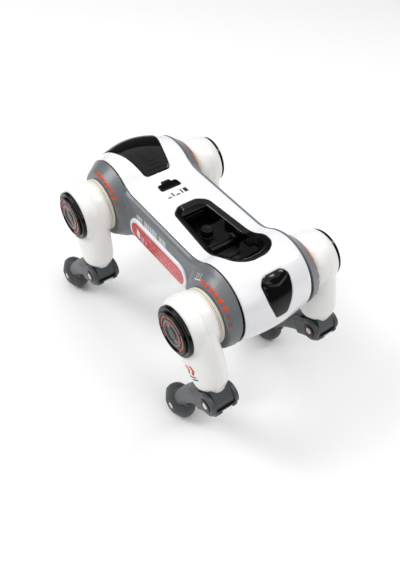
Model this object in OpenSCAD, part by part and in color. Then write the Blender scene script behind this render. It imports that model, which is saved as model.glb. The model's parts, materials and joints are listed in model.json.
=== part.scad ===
// Four-legged robot dog: a bone-shaped shell body on four legs, each with a hip joint and a knee joint.
// Origin: on the ground under the middle of the robot's bounding box. +X forward, +Y left, +Z up.

/* [Body] */
// Distance from the rear hip axes to the front hip axes
wheel_base = 160; // [140:1:200]
// Height of the hip axes above the ground
hip_height = 138.4; // [116:0.2:166]
// Radius of the round body ends
dome_r = 37.5; // [33:0.5:42]
// Height of the back above the hip axes
waist_top = 27.5; // [25:0.5:30]
// Depth of the belly below the hip axes
waist_low = 18; // [16:0.5:20]
// Radius of the blend between the waist and the round ends
blend_r = 30; // [20:1:34]
// Width of the white band over the back
band_w = 67.2; // [60:0.4:80]
// Height of the grey side cover beyond the band
side_h = 4.4; // [3.5:0.1:6]
// Width of the chamfer along the side cover's edge
edge_h = 1.6; // [1:0.1:2]
// Wall thickness of every shell
wall = 2.2; // [1.6:0.1:2.6]
// Height of the hip dome beyond the band
dome_h = 12.4; // [11:0.1:16]
// Radius of the hip dome's outer face
dome_face_r = 29.5; // [28.5:0.5:32]
// Depth of the seam between top cover and belly cover below the hip axes
seam_low = 12; // [8:1:14]

/* [Windows] */
// Length of the black front window's flat rear part
nose_step = 16; // [12:1:20]
// Half-width of the front window at its rear edge
nose_rear_w = 13.5; // [11:0.5:15]
// Half-width of the front window where it widens
nose_mid_w = 18; // [16:0.5:20]
// Half-width of the front window at its front edge
nose_front_w = 23; // [20:0.5:26]
// Half-width of the black rear panel
tail_w = 11.5; // [9:0.5:14]
// Height of the rear panel's lower tip above the hip axis
tail_tip = 2; // [0:1:6]
// Amount that the windows stand proud of the cover
window_proud = 0.4; // [0:0.1:0.8]

/* [Accessory tray] */
// Half-width of the tray
tray_w = 20; // [17:0.5:24]
// Half-width of the tray's front edge
tray_front_w = 13; // [10:0.5:15]
// Place of the tray's front edge from the middle of the body
tray_front = 9.5; // [5:0.5:12]
// Place of the tray's rear edge from the middle of the body
tray_rear = -79; // [-80:0.5:-70]
// Width of the ledge around the pocket
tray_ledge = 5; // [3.5:0.5:6]
// Height of the pocket floor above the hip axes
tray_floor = 11.5; // [11:0.5:14]
// Radius of the locating stud
stud_r = 5; // [3:0.25:6]
// Height of the locating stud
stud_h = 8; // [5:0.5:9]
// Place of the locating stud from the middle of the body
stud_x = -17; // [-22:0.5:-12]
// Height of the latch bar
latch_h = 4; // [3:0.5:5]

/* [Trim] */
// Length of the badge on each flank
badge_l = 86; // [70:1:88]
// Height of the badge on each flank
badge_h = 26; // [20:0.5:27]
// Thickness of the badge
badge_t = 1.4; // [1:0.1:2]
// Length of the touch pad
pad_l = 12; // [8:0.5:14]
// Width of the touch pad
pad_w = 20; // [14:0.5:24]

/* [Legs] */
// Distance from hip axis to knee axis, as a share of the hip height
thigh_share = 0.4733; // [0.45:0.0001:0.5]
// Distance from knee axis to foot centre, as a share of the hip height
shin_share = 0.6344; // [0.61:0.0001:0.66]
// Backward tilt of the front left thigh
front_left_tilt = 16; // [10:1:30]
// Backward tilt of the front right thigh
front_right_tilt = 16; // [10:1:30]
// Backward tilt of the rear left thigh
rear_left_tilt = 39; // [20:1:42]
// Backward tilt of the rear right thigh
rear_right_tilt = 25; // [15:1:42]
// Width of the thigh's round hip barrel
barrel_w = 24.6; // [23:0.2:28]
// Radius of the barrel at its fullest
barrel_r = 26.2; // [25.5:0.1:27.5]
// Radius of the thigh column at the top
column_top_r = 17.5; // [14:0.5:19]
// Radius of the thigh column at the skirt
column_low_r = 13.8; // [12:0.1:14]
// Width of the knee fork over its ears
fork_w = 26.5; // [26:0.1:32]
// Thickness of each ear
ear_t = 4.4; // [3.5:0.1:5]
// Radius of the ears
ear_r = 11; // [10:0.25:11.25]
// Largest angle between thigh and shin, away from a straight leg
knee_fold_max = 90; // [80:1:92]
// Radius of the knee pin
knee_pin_r = 3; // [2:0.1:4]
// Radius of the foot
foot_r = 17; // [15:0.5:19]
// Width of the foot
foot_w = 21; // [18:0.5:24]
// Radius of the hip shaft
hip_shaft_r = 8; // [6:0.5:9]

/* [Hip caps] */
// Radius of the black hip cap
cap_r = 22.2; // [19:0.1:22.4]
// Thickness of the hip cap's rim
cap_t = 3; // [2:0.1:4]
// Radius of the raised disc on the hip cap
cap_disc_r = 18; // [16.5:0.5:19]
// Height of the raised disc above the rim
cap_disc_h = 2.2; // [1.5:0.1:3]
// Outer radius of the trim ring
ring_r = 15.5; // [13:0.5:16]
// Width of the trim ring
ring_w = 4; // [2:0.5:5]

/* [Hidden] */
$fn = 96;

// Clearances
slip = 0.05;
seat_gap = 0.2;
run_gap = 0.3;
over = 1;

// Body derived
half_base = wheel_base / 2;
half_band = band_w / 2;
side_y = half_band + side_h;
dome_y = half_band + dome_h;
edge_inset = 2;

function blend_x(level) = half_base - sqrt(pow(dome_r + blend_r, 2) - pow(level + blend_r, 2));
function blend_z(level) = dome_r * (level + blend_r) / (dome_r + blend_r);

// Legs derived
pin_head_t = 0.95;
pin_head_r = 4.6;
thigh_l = thigh_share * hip_height;
shin_l = shin_share * hip_height;
// The collar is at least thick enough for the knee fork to pass the dome
collar_t = max(3.7, fork_w / 2 + pin_head_t + run_gap - barrel_w / 2);
leg_in = dome_y + run_gap + collar_t;
leg_out = leg_in + barrel_w;
leg_mid = (leg_in + leg_out) / 2;
collar_r = 24;
boss_r = 12;
boss_h = 3;
skirt_z = thigh_l - ear_r - 1.6;
tongue_w = fork_w - 2 * ear_t - 2 * run_gap;
tongue_r = ear_r - 2.6;
shin_bow = 7;
shin_half = 7.5;
bow_r = (pow(shin_l / 2, 2) + pow(shin_bow, 2)) / (2 * shin_bow);
foot_drop = hip_height - foot_r;

// Each leg: name, end (1 front, -1 rear), side (1 left, -1 right), backward tilt of the thigh
LEGS = [
    ["front_left", 1, 1, front_left_tilt],
    ["front_right", 1, -1, front_right_tilt],
    ["rear_left", -1, 1, rear_left_tilt],
    ["rear_right", -1, -1, rear_right_tilt]
];
LEG_PIECES = [
    "hip_hub", "thigh_inner", "thigh_outer", "hip_cap", "hip_ring",
    "knee_motor", "knee_bracket", "knee_pin", "shin", "foot"
];
BODY_PIECES = [
    "top_cover", "left_side_cover", "right_side_cover", "belly_cover", "battery_door",
    "door_screws", "nose_window", "tail_window", "accessory_tray", "accessory_stud",
    "tray_latch", "touch_pad", "left_badge", "right_badge", "power_switch",
    "battery_pack", "main_board", "speaker", "sensor_board", "hip_motors"
];

// The shin leans forward by the angle that puts the foot on the ground
function shin_lean(tilt) = acos((foot_drop - thigh_l * cos(tilt)) / shin_l);
function foot_x(tilt) = shin_l * sin(shin_lean(tilt)) - thigh_l * sin(tilt);

// The body is shifted so that the origin is under the middle of the bounding box
front_tilt = min(front_left_tilt, front_right_tilt);
rear_tilt = max(rear_left_tilt, rear_right_tilt);
front_reach = half_base + max(dome_r, foot_x(front_tilt) + foot_r);
rear_reach = half_base + max(dome_r, thigh_l * sin(rear_tilt) + ear_r);
body_shift = (rear_reach - front_reach) / 2;

// ---- Placing helpers ----

// Body pieces are drawn with the middle of the two hip axes at the origin
module on_body() {
    translate([body_shift, 0, hip_height])
        children();
}

// Left-hand pieces are mirrored for the right
module on_side(side) {
    mirror([0, side < 0 ? 1 : 0, 0])
        children();
}

// An outline in X and Z, drawn across the body from y0 to y1
module across(y0, y1) {
    translate([0, y1, 0])
        rotate([90, 0, 0])
            linear_extrude(y1 - y0)
                children();
}

// A round profile of radius and Y, turned about the Y axis
module about_y() {
    rotate([-90, 0, 0])
        rotate_extrude()
            children();
}

// Thigh pieces are drawn hanging straight down from the hip axis at the origin
module on_thigh(leg) {
    on_body()
        on_side(leg[2])
            translate([leg[1] * half_base, 0, 0])
                rotate([0, leg[3], 0])
                    children();
}

// Shin pieces are drawn hanging straight down from the knee axis at the origin
module on_shin(leg) {
    on_thigh(leg)
        translate([0, 0, -thigh_l])
            rotate([0, -leg[3] - shin_lean(leg[3]), 0])
                children();
}

// ---- Body shells ----

// Side outline of the body: two round ends and a waist, blended
module body_outline(inset = 0) {
    for (end = [-1, 1])
        translate([end * half_base, 0])
            circle(r = dome_r - inset);
    difference() {
        translate([-half_base, -blend_z(waist_low)])
            square([wheel_base, blend_z(waist_low) + blend_z(waist_top)]);
        waist_cut(waist_top, inset);
        mirror([0, 1])
            waist_cut(waist_low, inset);
    }
}

// What is cut away above the waist: a flat stretch between two blend circles
module waist_cut(level, inset) {
    flat = blend_x(level);
    translate([-flat, level - inset])
        square([2 * flat, blend_r]);
    for (end = [-1, 1])
        translate([end * flat, level + blend_r])
            circle(r = blend_r + inset);
}

// A layer that follows the body outline between two depths
module body_skin(half, outer, inner) {
    difference() {
        across(-half, half)
            body_outline(outer);
        across(-half - over, half + over)
            body_outline(inner);
    }
}

module above(z) {
    translate([-wheel_base, -wheel_base, z])
        cube([2 * wheel_base, 2 * wheel_base, wheel_base]);
}

module below(z) {
    translate([-wheel_base, -wheel_base, z - wheel_base])
        cube([2 * wheel_base, 2 * wheel_base, wheel_base]);
}

// Plan outline of the front window, shrunk by a clearance
nose_x = half_base - 23;
module nose_plan(gap = 0) {
    step = nose_x + nose_step;
    tip = half_base + dome_r + over;
    polygon([
        [nose_x + gap, -nose_rear_w + gap], [step, -nose_mid_w + gap],
        [half_base + 30, -nose_front_w + gap], [tip, -nose_front_w + gap],
        [tip, nose_front_w - gap], [half_base + 30, nose_front_w - gap],
        [step, nose_mid_w - gap], [nose_x + gap, nose_rear_w - gap]
    ]);
}

// The window ends above the seam
nose_low = 4;
module nose_region(gap = 0) {
    intersection() {
        linear_extrude(dome_r + over)
            nose_plan(gap);
        above(nose_low + gap);
    }
}

// Rear panel region: a wedge of constant width that narrows at the bottom
module tail_region(gap = 0) {
    top = 33 - gap;
    low = tail_tip + gap;
    half = tail_w - gap;
    translate([-half_base - dome_r - over, 0, 0])
        rotate([90, 0, 90])
            linear_extrude(25)
                polygon([
                    [-half + 3, top], [half - 3, top], [half, top - 4], [half, 17],
                    [half - 5, low], [-half + 5, low], [-half, 17], [-half, top - 4]
                ]);
}

// Plan outline of the tray, grown by a margin
module tray_plan(grow = 0) {
    w = tray_w + grow;
    flare = w + 1.5;
    polygon([
        [tray_front + grow, -tray_front_w], [tray_front + grow, tray_front_w],
        [tray_front - 5 + grow, w], [-45, w], [-58, flare],
        [tray_rear + 8, flare], [tray_rear + 2 - grow, flare - 6], [tray_rear - grow, flare - 13],
        [tray_rear - grow, -flare + 13], [tray_rear + 2 - grow, -flare + 6], [tray_rear + 8, -flare],
        [-58, -flare], [-45, -w], [tray_front - 5 + grow, -w]
    ]);
}

module tray_column(grow, z0) {
    translate([0, 0, z0])
        linear_extrude(dome_r)
            tray_plan(grow);
}

pad_x = 38;
pad_sink = 0.8;
module pad_blank(gap, z0, h) {
    translate([pad_x, 0, z0])
        linear_extrude(h)
            square([pad_l - 2 * gap, pad_w - 2 * gap], center = true);
}

module top_cover() {
    color("whitesmoke")
        on_body()
            difference() {
                intersection() {
                    body_skin(half_band, 0, wall);
                    above(-seam_low);
                }
                nose_region();
                tail_region();
                tray_column(0, 0);
                pad_blank(0, waist_top - pad_sink, pad_sink + over);
            }
}

// Belly opening for the battery door, and the slot of the power switch
door_l = 44;
door_w = 36;
door_x = -6;
switch_x = 24;
switch_w = 5;
switch_travel = 4;
switch_slot = 12;

module door_blank(grow, z0, h) {
    translate([door_x - door_l / 2 - grow, -door_w / 2 - grow, z0])
        cube([door_l + 2 * grow, door_w + 2 * grow, h]);
}

// Places of the four door screws
door_lip = 3.4;
door_lip_t = 1.2;
screw_r = 1.2;
screw_inset = 1.7;
module at_screws() {
    for (sx = [-1, 1], sy = [-1, 1])
        translate([
            door_x + sx * (door_l / 2 + screw_inset),
            sy * (door_w / 2 + screw_inset),
            -waist_low
        ])
            children();
}

board_z = 0;
board_t = 1.6;
board_post_r = 3;
board_hole_x = 24;
board_hole_y = 25.5;
battery_t = 11;
sensor_z = 15.5 - dome_r;
speaker_z = 9.5 - dome_r;

module belly_cover() {
    inner = -waist_low + wall;
    color("whitesmoke")
        on_body()
            union() {
                difference() {
                    intersection() {
                        body_skin(half_band, 0, wall);
                        below(-seam_low);
                    }
                    door_blank(seat_gap, -waist_low - over, wall + 2 * over);
                    translate([switch_x - switch_w / 2 - seat_gap, -switch_slot / 2, -waist_low - over])
                        cube([switch_w + 2 * seat_gap, switch_slot, wall + 2 * over]);
                    at_screws()
                        translate([0, 0, -over])
                            cylinder(r = screw_r + slip, h = wall + 2 * over);
                }
                // Posts under the main board, one near each corner
                for (sx = [-1, 1], sy = [-1, 1])
                    translate([door_x + sx * board_hole_x, sy * board_hole_y, inner - wall / 2])
                        cylinder(r = board_post_r, h = board_z - inner + wall / 2);
                // Feet that carry the sensor board and the speaker
                belly_foot(half_base + 4, 8, 16, sensor_z);
                belly_foot(-half_base, 16, 16, speaker_z);
            }
}

// A block that stands on the inside of the belly's round end
module belly_foot(x, length, width, top) {
    intersection() {
        translate([x - length / 2, -width / 2, top - dome_r])
            cube([length, width, dome_r]);
        across(-half_band, half_band)
            body_outline(wall / 2);
    }
}

module battery_door() {
    color("whitesmoke")
        on_body()
            difference() {
                union() {
                    door_blank(0, -waist_low, wall);
                    door_blank(door_lip, -waist_low - door_lip_t, door_lip_t);
                }
                at_screws()
                    translate([0, 0, -door_lip_t - over])
                        cylinder(r = screw_r + slip, h = door_lip_t + 2 * over);
            }
}

module door_screws() {
    color("silver")
        on_body()
            at_screws()
                translate([0, 0, -door_lip_t]) {
                    translate([0, 0, -1])
                        cylinder(r = 2.2, h = 1);
                    cylinder(r = screw_r, h = door_lip_t + wall + 1);
                }
}

// The switch is drawn in its off position, at the right end of its slot
module power_switch() {
    inner = -waist_low + wall;
    stem = switch_slot - switch_travel - 2 * seat_gap;
    knob_h = 1.2;
    color("black")
        on_body()
            translate([switch_x, -switch_travel / 2, 0]) {
                translate([-switch_w / 2, -stem / 2, -waist_low - knob_h])
                    cube([switch_w, stem, knob_h + wall + 2 * slip]);
                translate([-switch_w / 2 - 1.5, -switch_slot / 2 - 1, inner + 2 * slip])
                    cube([switch_w + 3, switch_slot + 2, 1.5]);
            }
}

// Grey side cover: a waist plate with a chamfer layer, and a conical dome over each hip
module side_shell_outer() {
    across(half_band, half_band + edge_h)
        body_outline();
    across(half_band, side_y)
        body_outline(edge_inset);
    for (end = [-1, 1])
        translate([end * half_base, half_band, 0])
            rotate([-90, 0, 0])
                cylinder(h = dome_h, r1 = dome_r, r2 = dome_face_r);
}

module side_shell_inner() {
    across(half_band - over, side_y - wall)
        body_outline(edge_inset + wall);
    for (end = [-1, 1])
        translate([end * half_base, half_band - over, 0])
            rotate([-90, 0, 0])
                cylinder(h = dome_h + over - wall, r1 = dome_r - wall, r2 = dome_face_r - wall);
}

module side_cover(side) {
    color("dimgray")
        on_body()
            on_side(side)
                difference() {
                    side_shell_outer();
                    side_shell_inner();
                    for (end = [-1, 1])
                        translate([end * half_base, dome_y - wall - over, 0])
                            rotate([-90, 0, 0])
                                cylinder(r = hip_shaft_r + slip, h = wall + 2 * over);
                }
}

module nose_window() {
    color("black")
        on_body()
            intersection() {
                body_skin(half_band, -window_proud, wall);
                nose_region(seat_gap);
            }
}

module tail_window() {
    color("black")
        on_body()
            intersection() {
                body_skin(half_band, -window_proud, wall);
                tail_region(seat_gap);
            }
}

// ---- Accessory tray ----

tray_bottom_t = 2.5;
tray_flange = 3;
latch_x = -38;
pocket_front = tray_front - tray_ledge - 2.5;
pocket_rear = tray_rear + 6;
pocket_half = tray_w - tray_ledge;

module tray_pocket() {
    slope = 16;
    difference() {
        translate([pocket_rear, -pocket_half, tray_floor])
            cube([pocket_front - pocket_rear, 2 * pocket_half, dome_r]);
        // The rear wall slopes up to the rim
        across(-tray_w, tray_w)
            polygon([
                [pocket_rear - over, tray_floor - over],
                [pocket_rear + slope, tray_floor - over],
                [pocket_rear + slope, tray_floor],
                [pocket_rear - over, tray_floor + slope + 3]
            ]);
    }
}

module accessory_tray() {
    color("black")
        on_body()
            difference() {
                union() {
                    // Tub inside the opening, level with the cover
                    intersection() {
                        tray_column(-seat_gap, tray_floor - tray_bottom_t);
                        across(-half_band, half_band)
                            body_outline(0.3);
                    }
                    // Flange under the cover's edge
                    intersection() {
                        tray_column(tray_flange, tray_floor);
                        body_skin(half_band, wall + slip, 2 * wall);
                    }
                }
                tray_pocket();
            }
}

module accessory_stud() {
    color("black")
        on_body()
            translate([stud_x, 0, tray_floor])
                cylinder(r = stud_r, h = stud_h);
}

module tray_latch() {
    depth = 5;
    color("black")
        on_body()
            translate([latch_x, -pocket_half + seat_gap, tray_floor])
                difference() {
                    cube([depth, 2 * (pocket_half - seat_gap), latch_h]);
                    // Lead-in slope on the side towards the stud
                    translate([depth, -over, latch_h / 2])
                        rotate([0, -35, 0])
                            cube([depth, 2 * tray_w, latch_h]);
                }
}

module touch_pad() {
    color("black")
        on_body()
            pad_blank(seat_gap, waist_top - pad_sink, pad_sink + window_proud);
}

// ---- Badges ----

badge_x = 1;
badge_z = -2.5;
module capsule(shrink) {
    r = badge_h / 2 - shrink;
    span = badge_l / 2 - badge_h / 2;
    translate([badge_x, badge_z]) {
        square([2 * span, 2 * r], center = true);
        for (end = [-1, 1])
            translate([end * span, 0])
                circle(r = r);
    }
}

module badge(side) {
    frame_w = 3.5;
    color("white")
        on_body()
            on_side(side) {
                difference() {
                    across(side_y, side_y + badge_t)
                        capsule(0);
                    across(side_y + badge_t / 2, side_y + badge_t + over)
                        capsule(frame_w);
                }
            }
}

// ---- Inside the body ----

module battery_pack() {
    color("steelblue")
        on_body()
            translate([door_x - door_l / 2 + 1, -door_w / 2 + 1, -waist_low + wall])
                cube([door_l - 2, door_w - 2, battery_t]);
}

module main_board() {
    length = 2 * board_hole_x + 8;
    width = 2 * board_hole_y + 8;
    color("darkgreen")
        on_body() {
            translate([door_x - length / 2, -width / 2, board_z])
                cube([length, width, board_t]);
            translate([door_x - 12, -10, board_z])
                cube([12, 12, board_t + 1.4]);
            translate([door_x + 8, -20, board_z])
                cube([8, 14, board_t + 4]);
        }
}

module speaker() {
    color("dimgray")
        on_body()
            translate([-half_base, 0, speaker_z]) {
                cylinder(r = 13, h = 3);
                cylinder(r = 8, h = 6);
            }
}

module sensor_board() {
    color("darkgreen")
        on_body()
            translate([half_base + 3, -14, sensor_z]) {
                cube([board_t, 28, -2 * sensor_z]);
                translate([0, 14, 12 - sensor_z])
                    rotate([0, 90, 0])
                        cylinder(r = 5, h = 9);
            }
}

module hip_motors() {
    motor_r = 17;
    face = dome_y - wall;
    // The motors stop short of the tray's flange
    depth = min(18, face - tray_w - 1.5 - tray_flange - run_gap);
    color("dimgray")
        on_body()
            for (end = [-1, 1], side = [-1, 1])
                on_side(side)
                    translate([end * half_base, face - depth, 0])
                        rotate([-90, 0, 0])
                            difference() {
                                cylinder(r = motor_r, h = depth);
                                translate([0, 0, depth - 8])
                                    cylinder(r = hip_shaft_r + slip, h = 8 + over);
                            }
}

// ---- Legs ----

// Collar ring and output shaft between body and thigh
module hip_hub(leg) {
    shaft_in = dome_y - wall - 8 + run_gap;
    color("antiquewhite")
        on_thigh(leg) {
            translate([0, dome_y + run_gap, 0])
                rotate([-90, 0, 0])
                    cylinder(r = collar_r, h = leg_in - dome_y - run_gap);
            translate([0, shaft_in, 0])
                rotate([-90, 0, 0])
                    cylinder(r = hip_shaft_r, h = leg_in - shaft_in);
            translate([0, leg_in, 0])
                rotate([-90, 0, 0])
                    cylinder(r = boss_r, h = boss_h);
        }
}

// Thigh skin: a bulging hip barrel and a tapering column, both shrunk by an inset for the hollow
module thigh_skin(inset) {
    bulge_r = 40;
    about_y()
        intersection() {
            translate([0, leg_in + inset])
                square([barrel_r, barrel_w - 2 * inset]);
            translate([barrel_r - bulge_r, leg_mid])
                circle(r = bulge_r - inset);
        }
    intersection() {
        translate([0, leg_mid, -skirt_z + inset])
            cylinder(h = skirt_z - inset, r1 = column_low_r - inset, r2 = column_top_r - inset);
        translate([-barrel_r, leg_in + inset, -thigh_l])
            cube([2 * barrel_r, barrel_w - 2 * inset, 2 * thigh_l]);
    }
}

// Hole in the skirt that the knee bracket passes through
module bracket_blank(grow) {
    translate([-tongue_r - grow, leg_mid - tongue_w / 2 - grow, -skirt_z - over])
        cube([2 * (tongue_r + grow), tongue_w + 2 * grow, wall + 2 * over]);
}

module thigh_shell() {
    difference() {
        thigh_skin(0);
        thigh_skin(wall);
        bracket_blank(slip);
        // Seat of the hip hub's boss
        translate([0, leg_in - over, 0])
            rotate([-90, 0, 0])
                cylinder(r = boss_r + slip, h = wall + 2 * over);
    }
}

module thigh_inner(leg) {
    color("white")
        on_thigh(leg)
            intersection() {
                thigh_shell();
                translate([-thigh_l, leg_mid - thigh_l, -thigh_l])
                    cube([2 * thigh_l, thigh_l, 2 * thigh_l]);
            }
}

module thigh_outer(leg) {
    color("white")
        on_thigh(leg)
            intersection() {
                thigh_shell();
                translate([-thigh_l, leg_mid, -thigh_l])
                    cube([2 * thigh_l, thigh_l, 2 * thigh_l]);
            }
}

module hip_cap(leg) {
    dish = 1.2;
    color("black")
        on_thigh(leg)
            translate([0, leg_out, 0])
                rotate([-90, 0, 0])
                    difference() {
                        union() {
                            cylinder(r = cap_r, h = cap_t);
                            cylinder(r = cap_disc_r, h = cap_t + cap_disc_h);
                        }
                        translate([0, 0, cap_t + cap_disc_h - dish])
                            cylinder(r = ring_r + slip, h = dish + over);
                    }
}

module hip_ring(leg) {
    dish = 1.2;
    color("rosybrown")
        on_thigh(leg)
            translate([0, leg_out + cap_t + cap_disc_h - dish, 0])
                rotate([-90, 0, 0])
                    difference() {
                        cylinder(r = ring_r, h = dish);
                        translate([0, 0, -over])
                            cylinder(r = ring_r - ring_w, h = dish + 2 * over);
                    }
}

// Gear motor inside the column, standing on the knee bracket
bracket_top = 10;
module knee_motor(leg) {
    motor_r = 9;
    color("dimgray")
        on_thigh(leg)
            translate([0, leg_mid, -skirt_z + bracket_top])
                cylinder(r = motor_r, h = skirt_z - bracket_top - boss_r - 4);
}

// Tongue that hangs between the fork ears and carries the knee pin
module knee_bracket(leg) {
    color("#484b4b")
        on_thigh(leg)
            difference() {
                union() {
                    across(leg_mid - tongue_w / 2, leg_mid + tongue_w / 2) {
                        translate([0, -thigh_l])
                            circle(r = tongue_r);
                        translate([-tongue_r, -thigh_l])
                            square([2 * tongue_r, thigh_l - skirt_z + wall]);
                    }
                    translate([0, leg_mid, -skirt_z + wall])
                        cylinder(r = barrel_w / 2 - wall - seat_gap, h = bracket_top - wall);
                }
                translate([0, leg_mid - tongue_w, -thigh_l])
                    rotate([-90, 0, 0])
                        cylinder(r = knee_pin_r + slip, h = 2 * tongue_w);
            }
}

module knee_pin(leg) {
    span = fork_w + 2 * pin_head_t;
    color("silver")
        on_shin(leg) {
            translate([0, leg_mid - span / 2, 0])
                rotate([-90, 0, 0])
                    cylinder(r = knee_pin_r, h = span);
            for (y = [leg_mid - span / 2, leg_mid + fork_w / 2])
                translate([0, y, 0])
                    rotate([-90, 0, 0])
                        cylinder(r = pin_head_r, h = pin_head_t);
        }
}

// Bowed beam outline between knee and foot
module shin_bow_outline(half, z0, z1) {
    intersection() {
        translate([shin_bow - bow_r, -shin_l / 2])
            difference() {
                circle(r = bow_r + half, $fn = 360);
                circle(r = bow_r - half, $fn = 360);
            }
        translate([-shin_l, z1])
            square([2 * shin_l, z0 - z1]);
    }
}

// Blade that the foot is fitted on
blade_t = 9;
blade_r = 7;
module shin_blade(grow) {
    across(leg_mid - blade_t / 2 - grow, leg_mid + blade_t / 2 + grow) {
        translate([0, -shin_l])
            circle(r = blade_r + grow);
        shin_bow_outline(blade_r - 0.5 + grow, -shin_l + foot_r + 3, -shin_l);
    }
}

module shin(leg) {
    core_w = fork_w - 2 * ear_t;
    beam_w = foot_w - 3;
    knee_clear = tongue_r + 2 * run_gap;
    color("#484b4b")
        on_shin(leg)
            difference() {
                union() {
                    // Ears
                    for (y = [leg_mid - fork_w / 2, leg_mid + fork_w / 2 - ear_t])
                        across(y, y + ear_t) {
                            circle(r = ear_r);
                            shin_bow_outline(shin_half + 1, 0, -30);
                        }
                    // Web behind the knee, between the ears and a little above the pin
                    across(leg_mid - core_w / 2 - over, leg_mid + core_w / 2 + over)
                        intersection() {
                            circle(r = ear_r);
                            translate([-ear_r, -ear_r])
                                square([ear_r, ear_r + 4.5]);
                        }
                    // Beam
                    difference() {
                        across(leg_mid - beam_w / 2, leg_mid + beam_w / 2)
                            shin_bow_outline(shin_half, 0, -shin_l);
                        translate([0, leg_mid - foot_w, -shin_l])
                            rotate([-90, 0, 0])
                                cylinder(r = foot_r + seat_gap, h = 2 * foot_w);
                    }
                    shin_blade(0);
                }
                // Room for the thigh's tongue, from a straight leg to a folded one
                across(leg_mid - core_w / 2, leg_mid + core_w / 2) {
                    circle(r = knee_clear);
                    rotate(90 - knee_fold_max)
                        translate([0, -knee_clear])
                            square([2 * ear_r, 2 * knee_clear]);
                }
                // Bore of the knee pin
                translate([0, leg_mid - fork_w, 0])
                    rotate([-90, 0, 0])
                        cylinder(r = knee_pin_r + slip / 2, h = 2 * fork_w);
            }
}

// Drum foot with rounded shoulders and a slot for the shin's blade
module foot(leg) {
    crown_r = 34;
    hub_r = 7;
    hub_dish = 1;
    color("#3c3e3f")
        on_shin(leg)
            difference() {
                translate([0, 0, -shin_l])
                    about_y()
                        intersection() {
                            translate([0, leg_mid - foot_w / 2])
                                square([foot_r, foot_w]);
                            translate([foot_r - crown_r, leg_mid])
                                circle(r = crown_r);
                        }
                shin_blade(slip);
                translate([0, leg_mid + foot_w / 2 - hub_dish, -shin_l])
                    rotate([-90, 0, 0])
                        cylinder(r = hub_r, h = hub_dish + over);
            }
}

top_cover();
side_cover(1);  // left_side_cover
side_cover(-1);  // right_side_cover
belly_cover();
battery_door();
door_screws();
nose_window();
tail_window();
accessory_tray();
accessory_stud();
tray_latch();
touch_pad();
badge(1);  // left_badge
badge(-1);  // right_badge
power_switch();
battery_pack();
main_board();
speaker();
sensor_board();
hip_motors();
for (leg = LEGS) {
    hip_hub(leg);
    thigh_inner(leg);
    thigh_outer(leg);
    hip_cap(leg);
    hip_ring(leg);
    knee_motor(leg);
    knee_bracket(leg);
    knee_pin(leg);
    shin(leg);
    foot(leg);
}
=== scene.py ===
# Four-legged robot dog: the looks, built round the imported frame
import json
import math
import bpy
import bmesh
from mathutils import Matrix, Vector
from mathutils.bvhtree import BVHTree


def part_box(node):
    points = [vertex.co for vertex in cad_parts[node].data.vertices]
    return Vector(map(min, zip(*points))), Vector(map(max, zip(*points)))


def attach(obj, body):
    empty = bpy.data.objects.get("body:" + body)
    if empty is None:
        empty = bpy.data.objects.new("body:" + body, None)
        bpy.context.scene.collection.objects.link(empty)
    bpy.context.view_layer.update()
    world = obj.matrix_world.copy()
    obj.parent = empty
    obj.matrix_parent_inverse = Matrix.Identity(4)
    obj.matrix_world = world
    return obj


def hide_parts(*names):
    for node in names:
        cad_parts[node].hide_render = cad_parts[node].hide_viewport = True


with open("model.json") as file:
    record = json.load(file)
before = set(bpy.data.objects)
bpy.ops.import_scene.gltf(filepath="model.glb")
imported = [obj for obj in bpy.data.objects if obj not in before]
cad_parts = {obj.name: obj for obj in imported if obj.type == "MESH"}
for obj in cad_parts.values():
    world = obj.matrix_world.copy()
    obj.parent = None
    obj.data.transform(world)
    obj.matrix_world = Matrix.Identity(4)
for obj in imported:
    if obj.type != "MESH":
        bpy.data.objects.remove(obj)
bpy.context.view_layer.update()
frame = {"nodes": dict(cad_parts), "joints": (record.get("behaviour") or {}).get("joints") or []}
print("frame loaded:", len(frame["nodes"]), "nodes")

mm = 0.001
joints = {j["name"]: j for j in frame["joints"]}
legNames = ["front_left", "front_right", "rear_left", "rear_right"]


def hipOf(leg):
    return Vector(joints[leg + "_hip"]["pos_m"]) / mm


def kneeOf(leg):
    return Vector(joints[leg + "_knee"]["pos_m"]) / mm


hipZ = hipOf("front_left").z
halfBase = (hipOf("front_left").x - hipOf("rear_left").x) / 2
midX = (hipOf("front_left").x + hipOf("rear_left").x) / 2

# small helpers


def linearColour(hexText, alpha=1.0):
    # sRGB hex to the linear values that Blender shades with
    parts = [int(hexText[i:i + 2], 16) / 255 for i in (1, 3, 5)]
    linear = [c / 12.92 if c <= 0.04045 else ((c + 0.055) / 1.055) ** 2.4 for c in parts]
    return (*linear, alpha)


def addNode(tree, kind, settings=None, **links):
    # one node with its settings; links are input name -> output socket or plain value
    node = tree.nodes.new(kind)
    for key, value in (settings or {}).items():
        setattr(node, key, value)
    for key, value in links.items():
        socket = node.inputs[int(key[1:])] if key[0] == "i" and key[1:].isdigit() else node.inputs[key]
        if isinstance(value, bpy.types.NodeSocket):
            tree.links.new(value, socket)
        else:
            socket.default_value = value
    return node


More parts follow.
